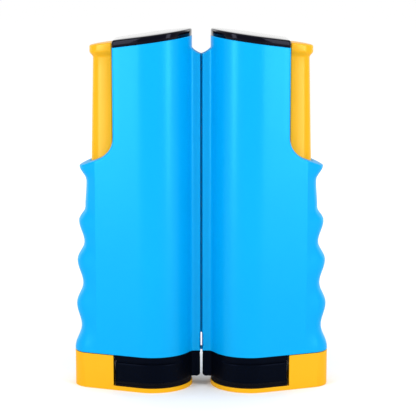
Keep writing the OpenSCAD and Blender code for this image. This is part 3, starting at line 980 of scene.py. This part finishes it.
def strand(z, half_t, half_w):
    low, high = z - half_w, z + half_w
    return along_span([(-half_t, low), (-half_t, high), (half_t, high), (half_t, low)])


def net_strands():
    """The net between the rolls: cords along it and upright strands, and a thicker cord at its foot."""
    foot, head = span_low.z, span_high.z
    cord_t, cord_w = FOOT_CORD
    parts = [strand(foot + cord_w, cord_t, cord_w)]
    pitch = (head - foot) / NET_ROWS
    parts += [strand(foot + pitch * i, STRAND_T / 2, STRAND_W / 2) for i in range(1, NET_ROWS)]
    for i in range(CELLS):
        middle = -STRETCH_X + (PULL + 2 * STRETCH_X) * (i + 0.5) / CELLS
        x0, x1 = rest_x(middle - STRAND_W / 2), rest_x(middle + STRAND_W / 2)
        half = STRAND_T / 2 - UPRIGHT_LESS
        ring = [(x0, -half), (x1, -half), (x1, half), (x0, half)]
        parts.append(loft([[(x, y, z) for x, y in ring] for z in (foot + 0.2, head + 0.5)]))
    points, faces = [], []
    for part_points, part_faces in parts:
        faces += [[i + len(points) for i in face] for face in part_faces]
        points += part_points
    return points, faces


def net_tape():
    """White tape folded over the net's top edge, with a line of stitching near its hem."""
    half, low, high = TAPE_HALF, tape_low.z, tape_high.z
    side = [(half, low), (half, low + 1.2), (half - 0.12, low + 1.5), (half, low + 1.8), (half, high - 0.4)]
    side += [(half * 0.5, high - 0.06)]
    return along_span([(-y, z) for y, z in side] + list(reversed(side)))


# ---- Materials

FACE_ON = 0.04           # share of the light that plastic sends back when seen face on
COAT_IOR = 1.1
COAT_ROUGHNESS = 0.06
COLOR_SWING = (0.96, 1.04)
GLOSS_SWING = 0.03


class Finish:
    """A Principled material, with short calls for the nodes that vary it over the surface."""

    def __init__(self, name, roughness, specular=0.5, tint=(1, 1, 1), metallic=0.0):
        self.material = bpy.data.materials.new(name)
        self.material.use_nodes = True
        self.nodes, self.links = self.material.node_tree.nodes, self.material.node_tree.links
        self.shader = self.nodes["Principled BSDF"]
        self.shader.inputs["Roughness"].default_value = roughness
        self.shader.inputs["Specular IOR Level"].default_value = specular
        self.shader.inputs["Specular Tint"].default_value = (*tint, 1)
        self.shader.inputs["Metallic"].default_value = metallic
        self.where = self.nodes.new("ShaderNodeTexCoord").outputs["Object"]
        self.relief = None

    def stretched(self, scale):
        """The place, scaled along each axis."""
        mapping = self.nodes.new("ShaderNodeMapping")
        mapping.inputs["Scale"].default_value = scale
        self.links.new(self.where, mapping.inputs["Vector"])
        return mapping.outputs["Vector"]

    def noise(self, scale, detail=2.0, where=None):
        node = self.nodes.new("ShaderNodeTexNoise")
        node.inputs["Scale"].default_value = scale
        node.inputs["Detail"].default_value = detail
        self.links.new(where or self.where, node.inputs["Vector"])
        return node.outputs["Fac"]

    def wave(self, scale, direction):
        node = self.nodes.new("ShaderNodeTexWave")
        node.bands_direction = direction
        node.inputs["Scale"].default_value = scale
        self.links.new(self.where, node.inputs["Vector"])
        return node.outputs["Fac"]

    def between(self, amount, low, high):
        node = self.nodes.new("ShaderNodeMapRange")
        node.inputs["To Min"].default_value = low
        node.inputs["To Max"].default_value = high
        self.links.new(amount, node.inputs["Value"])
        return node.outputs["Result"]

    def color(self, amount, dark, light):
        node = self.nodes.new("ShaderNodeMix")
        node.data_type = "RGBA"
        node.inputs["A"].default_value = (*dark, 1)
        node.inputs["B"].default_value = (*light, 1)
        self.links.new(amount, node.inputs["Factor"])
        self.links.new(node.outputs["Result"], self.shader.inputs["Base Color"])

    def rough(self, amount, low, high):
        self.links.new(self.between(amount, low, high), self.shader.inputs["Roughness"])

    def bump(self, height, distance):
        node = self.nodes.new("ShaderNodeBump")
        node.inputs["Strength"].default_value = 1
        node.inputs["Distance"].default_value = distance
        self.links.new(height, node.inputs["Height"])
        if self.relief:
            self.links.new(self.relief, node.inputs["Normal"])
        self.relief = node.outputs["Normal"]
        self.links.new(self.relief, self.shader.inputs["Normal"])


def plastic(name, color, roughness, specular=0.5, tint=(1, 1, 1), grain=0.00001, ior=1.12, coat=0.0):
    """Moulded plastic: faintly uneven in colour and gloss, with a fine grain."""
    face_on = FACE_ON / ((ior - 1) / (ior + 1)) ** 2
    finish = Finish(name, roughness, specular, [face_on * c for c in tint])
    finish.shader.inputs["IOR"].default_value = ior
    finish.shader.inputs["Coat Weight"].default_value = coat
    finish.shader.inputs["Coat IOR"].default_value = COAT_IOR
    finish.shader.inputs["Coat Roughness"].default_value = COAT_ROUGHNESS
    darker, lighter = COLOR_SWING
    dark = [darker * c for c in color]
    light = [min(1, lighter * c) for c in color]
    finish.color(finish.noise(30, 3), dark, light)
    finish.rough(finish.noise(55), roughness - GLOSS_SWING, roughness + GLOSS_SWING)
    finish.bump(finish.noise(1400), grain)
    return finish.material


def metal(name, color, roughness, along):
    """Drawn or plated steel, with fine lines along one axis."""
    finish = Finish(name, roughness, metallic=1.0)
    lines = finish.noise(300, 4, finish.stretched(along))
    finish.color(lines, [0.85 * c for c in color], color)
    finish.rough(lines, roughness - 0.06, roughness + 0.1)
    finish.bump(lines, 0.00001)
    return finish.material


def rubber():
    finish = Finish("pad_rubber", 0.7, 0.25, (0.1, 0.1, 0.15))
    finish.color(finish.noise(200, 4), (0.0015, 0.0015, 0.002), (0.004, 0.004, 0.005))
    finish.bump(finish.noise(1800, 3), 0.00004)
    return finish.material


WAVE_LENGTH = 0.314      # a wave texture of scale 1 repeats after this many metres


def cloth(name, dark, light, pitch):
    """Woven cloth: threads cross each other every pitch metres."""
    finish = Finish(name, 0.85, 0.2)
    waves = WAVE_LENGTH / pitch
    weave = finish.nodes.new("ShaderNodeMath")
    weave.operation = "MULTIPLY"
    finish.links.new(finish.wave(waves, "X"), weave.inputs[0])
    finish.links.new(finish.wave(waves, "Z"), weave.inputs[1])
    finish.color(weave.outputs[0], dark, light)
    finish.bump(weave.outputs[0], 0.0001)
    return finish.material


LIGHT_GREY = (0.62, 0.63, 0.64)
OFF_WHITE = (0.78, 0.77, 0.73)
STEEL = (0.56, 0.57, 0.58)

MATERIALS = {
    "blue_shell": plastic("blue_shell", (0.0, 0.262, 0.59), 0.30, 0.5, (0.15, 0.95, 1.0)),
    "yellow_slider": plastic("yellow_slider", (0.62, 0.305, 0.001), 0.28, 0.5, (1.0, 0.9, 0.4)),
    "yellow_jaw": plastic("yellow_jaw", (0.65, 0.315, 0.003), 0.38, 0.4, (1.0, 0.9, 0.4)),
    "black_cap": plastic(
        "black_cap", (0.001, 0.001, 0.003), 0.13, 0.5, (0.04, 0.04, 0.08), ior=1.5, coat=1.0
    ),
    "black_base": plastic("black_base", (0.0008, 0.0013, 0.003), 0.34, 0.5, (0.03, 0.04, 0.08), 0.00003),
    "pad_rubber": rubber(),
    "tube_plastic": plastic("tube_plastic", LIGHT_GREY, 0.5, grain=0.00003),
    "bush_plastic": plastic("bush_plastic", OFF_WHITE, 0.42),
    "steel": metal("steel", STEEL, 0.25, (8, 8, 0.3)),
    "spring_steel": metal("spring_steel", STEEL, 0.32, (3, 3, 3)),
    "screw_steel": metal("screw_steel", (0.62, 0.61, 0.58), 0.3, (2, 2, 2)),
    "net": cloth("net", (0.004, 0.006, 0.012), (0.012, 0.016, 0.028), 0.0006),
    "tape": cloth("tape", (0.66, 0.66, 0.65), (0.86, 0.86, 0.85), 0.0007),
}
SLOT_OF = {entry["node"]: entry["material_slot"] for entry in frame["record"]["subparts"]}


BEVEL_W = 0.4
SOFTEN_ANGLE = math.radians(35)
FLAT_ANGLE = math.radians(0.5)


def soften(piece):
    """Rounds the sharp edges of a CAD node's mesh with modifiers."""
    weld = piece.modifiers.new("weld", "WELD")
    weld.merge_threshold = SLIVER
    flat = piece.modifiers.new("flat", "DECIMATE")
    flat.decimate_type = "DISSOLVE"
    flat.angle_limit = FLAT_ANGLE
    bevel = piece.modifiers.new("bevel", "BEVEL")
    bevel.width = BEVEL_W * MM
    bevel.segments = 3
    bevel.limit_method = "ANGLE"
    bevel.angle_limit = SOFTEN_ANGLE
    bevel.harden_normals = True


for node, piece in frame["nodes"].items():
    if len(piece.material_slots):
        piece.material_slots[0].material = MATERIALS[SLOT_OF[node]]
    if "spring" in node and "pin" not in node:
        continue
    soften(piece)


def place(piece, node, body=None, slot=None):
    """The piece takes the CAD node's place and has its material, or slot's, and rides on body."""
    slot = slot or SLOT_OF[node]
    piece.data.materials.clear()
    piece.data.materials.append(MATERIALS[slot])
    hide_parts(node)
    if body:
        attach(piece, body)


shell_points, shell_faces = shell_skin()
for label, side in SIDES.items():
    for half in ("front", "rear"):
        node = f"{label}_{half}_shell"
        piece = solid(f"{node}_moulding", shell_points, shell_faces, side, half == "rear")
        fit_screws(piece, side, half == "rear")
        place(piece, node, f"{label}_post")
    cap = solid(f"{label}_top_cap_moulding", *top_cap(), side, True)
    place(cap, f"{label}_top_cap", f"{label}_post")
    base = solid(f"{label}_base_cap_moulding", *base_cap(), side, True)
    place(base, f"{label}_base_cap", f"{label}_post")
    bar = slider_piece(f"{label}_slider_bar", side)
    place(bar, f"{label}_slider", f"{label}_jaw")

for label, side in SIDES.items():
    net = solid(f"{label}_wound_net", *wound(span_low.z, span_high.z, WOUND_NET_T), side, True)
    tape = solid(f"{label}_wound_tape", *wound(tape_low.z, tape_high.z, WOUND_TAPE_T), side, True)
    strips = ((net, "net", span_high.z - span_low.z), (tape, "tape", tape_high.z - tape_low.z))
    for piece, slot, wide in strips:
        place(piece, f"{label}_net_roll", f"{label}_roller", slot)

net = solid("net_between_posts", *net_strands(), weld=False)
tape = solid("tape_between_posts", *net_tape(), weld=False)
for piece, node in ((net, "net_span"), (tape, "net_tape")):
    place(piece, node)
    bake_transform(piece)

stage_camera()
stage()
